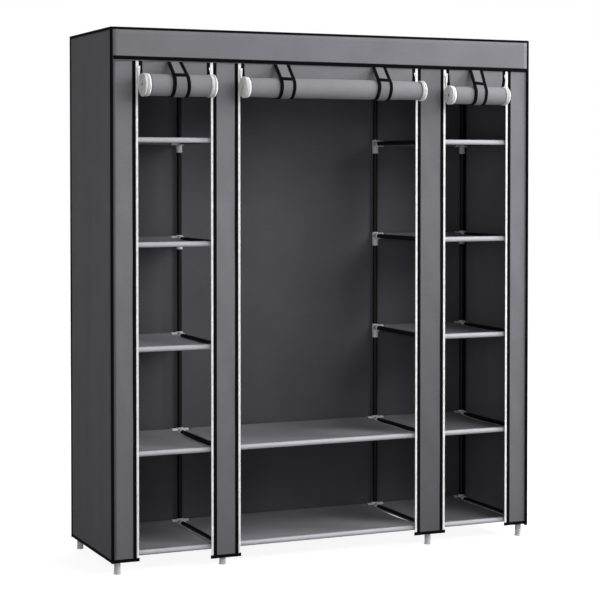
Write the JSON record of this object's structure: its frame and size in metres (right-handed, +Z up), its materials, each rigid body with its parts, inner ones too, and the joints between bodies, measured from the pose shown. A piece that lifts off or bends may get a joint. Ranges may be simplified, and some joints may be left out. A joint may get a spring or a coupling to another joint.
{
  "type": "portable fabric wardrobe",
  "caption": "Free-standing wardrobe of steel tubes and moulded connectors with cloth shelves and a hanging rail, under a sewn cover with zipped roll-up doors.",
  "frame": {"origin": "on the floor, under the middle of the box round the whole object with its doors rolled up", "axes": "+Z up, +X to the right as seen from the front, front at -Y"},
  "size_m": [1.5, 0.5254, 1.71],
  "materials": {
    "grey_cloth": "matt bonded cloth, outer side",
    "pale_cloth": "matt bonded cloth, lighter side",
    "black_tube": "black painted steel tube",
    "grey_connector": "moulded grey plastic",
    "clear_foot": "milky moulded plastic",
    "black_binding": "woven black binding tape",
    "white_zip": "white zip tape and teeth",
    "white_metal": "white painted zinc slider"
  },
  "bodies": {
    "root": {"upright_front_left_outer": "black_tube", "upright_rear_left_outer": "black_tube", "upright_front_left_inner": "black_tube", "upright_rear_left_inner": "black_tube", "upright_front_right_outer": "black_tube", "upright_rear_right_outer": "black_tube", "upright_front_right_inner": "black_tube", "upright_rear_right_inner": "black_tube", "shelf_left_1": "pale_cloth", "shelf_left_2": "pale_cloth", "shelf_left_3": "pale_cloth", "shelf_left_4": "pale_cloth", "shelf_left_5": "pale_cloth", "shelf_centre_1": "pale_cloth", "shelf_centre_2": "pale_cloth", "shelf_right_1": "pale_cloth", "shelf_right_2": "pale_cloth", "shelf_right_3": "pale_cloth", "shelf_right_4": "pale_cloth", "shelf_right_5": "pale_cloth", "top_rod_front_left": "black_tube", "top_rod_rear_left": "black_tube", "top_rod_front_centre": "black_tube", "top_rod_rear_centre": "black_tube", "top_rod_front_right": "black_tube", "top_rod_rear_right": "black_tube", "hanging_rail": "black_tube", "cover_left": "grey_cloth", "cover_right": "grey_cloth", "cover_back": "grey_cloth", "cover_top": "grey_cloth", "cover_header": "grey_cloth", "strip_left_outer": "grey_cloth", "strip_left_inner": "grey_cloth", "strip_right_inner": "grey_cloth", "strip_right_outer": "grey_cloth", "door_flap_left": "grey_cloth", "door_flap_centre": "grey_cloth", "door_flap_right": "grey_cloth", "strap_left": "grey_cloth", "strap_centre_1": "grey_cloth", "strap_centre_2": "grey_cloth", "strap_right": "grey_cloth"},
    "door_left": {"door_roll_left": "pale_cloth"},
    "door_centre": {"door_roll_centre": "pale_cloth"},
    "door_right": {"door_roll_right": "pale_cloth"},
    "slider_left_1": {"zip_slider_left_1": "white_metal"},
    "pull_left_1": {"zip_pull_left_1": "white_metal"},
    "slider_left_2": {"zip_slider_left_2": "white_metal"},
    "pull_left_2": {"zip_pull_left_2": "white_metal"},
    "slider_centre_1": {"zip_slider_centre_1": "white_metal"},
    "pull_centre_1": {"zip_pull_centre_1": "white_metal"},
    "slider_centre_2": {"zip_slider_centre_2": "white_metal"},
    "pull_centre_2": {"zip_pull_centre_2": "white_metal"},
    "slider_right_1": {"zip_slider_right_1": "white_metal"},
    "pull_right_1": {"zip_pull_right_1": "white_metal"},
    "slider_right_2": {"zip_slider_right_2": "white_metal"},
    "pull_right_2": {"zip_pull_right_2": "white_metal"}
  },
  "joints": [
    {"name": "unroll_left", "type": "slide", "parent": "root", "child": "door_left", "axis": [0, 0, -1], "range_m": [0, 1.45], "deforming": ["door_flap_left", "strap_left"]},
    {"name": "unroll_centre", "type": "slide", "parent": "root", "child": "door_centre", "axis": [0, 0, -1], "range_m": [0, 1.45], "deforming": ["door_flap_centre", "strap_centre_1", "strap_centre_2"]},
    {"name": "unroll_right", "type": "slide", "parent": "root", "child": "door_right", "axis": [0, 0, -1], "range_m": [0, 1.45], "deforming": ["door_flap_right", "strap_right"]},
    {"name": "zip_left_1", "type": "slide", "parent": "root", "child": "slider_left_1", "axis": [0, 0, -1], "range_m": [0, 1.45]},
    {"name": "zip_left_2", "type": "slide", "parent": "root", "child": "slider_left_2", "axis": [0, 0, -1], "range_m": [0, 1.45]},
    {"name": "zip_centre_1", "type": "slide", "parent": "root", "child": "slider_centre_1", "axis": [0, 0, -1], "range_m": [0, 1.45]},
    {"name": "zip_centre_2", "type": "slide", "parent": "root", "child": "slider_centre_2", "axis": [0, 0, -1], "range_m": [0, 1.45]},
    {"name": "zip_right_1", "type": "slide", "parent": "root", "child": "slider_right_1", "axis": [0, 0, -1], "range_m": [0, 1.45]},
    {"name": "zip_right_2", "type": "slide", "parent": "root", "child": "slider_right_2", "axis": [0, 0, -1], "range_m": [0, 1.45]},
    {"name": "pull_left_1", "type": "hinge", "parent": "slider_left_1", "child": "pull_left_1", "pos_m": [-0.6628, -0.18665, 1.583], "axis": [-1, 0, 0], "range_deg": [0, 150]},
    {"name": "pull_left_2", "type": "hinge", "parent": "slider_left_2", "child": "pull_left_2", "pos_m": [-0.4237, -0.18665, 1.583], "axis": [-1, 0, 0], "range_deg": [0, 150]},
    {"name": "pull_centre_1", "type": "hinge", "parent": "slider_centre_1", "child": "pull_centre_1", "pos_m": [-0.3203, -0.18665, 1.583], "axis": [-1, 0, 0], "range_deg": [0, 150]},
    {"name": "pull_centre_2", "type": "hinge", "parent": "slider_centre_2", "child": "pull_centre_2", "pos_m": [0.3203, -0.18665, 1.583], "axis": [-1, 0, 0], "range_deg": [0, 150]},
    {"name": "pull_right_1", "type": "hinge", "parent": "slider_right_1", "child": "pull_right_1", "pos_m": [0.4237, -0.18665, 1.583], "axis": [-1, 0, 0], "range_deg": [0, 150]},
    {"name": "pull_right_2", "type": "hinge", "parent": "slider_right_2", "child": "pull_right_2", "pos_m": [0.6628, -0.18665, 1.583], "axis": [-1, 0, 0], "range_deg": [0, 150]}
  ],
  "couplings": [
    {"joint": "zip_left_1", "follows": "unroll_left", "ratio": 1},
    {"joint": "zip_left_2", "follows": "unroll_left", "ratio": 1},
    {"joint": "zip_centre_1", "follows": "unroll_centre", "ratio": 1},
    {"joint": "zip_centre_2", "follows": "unroll_centre", "ratio": 1},
    {"joint": "zip_right_1", "follows": "unroll_right", "ratio": 1},
    {"joint": "zip_right_2", "follows": "unroll_right", "ratio": 1}
  ]
}
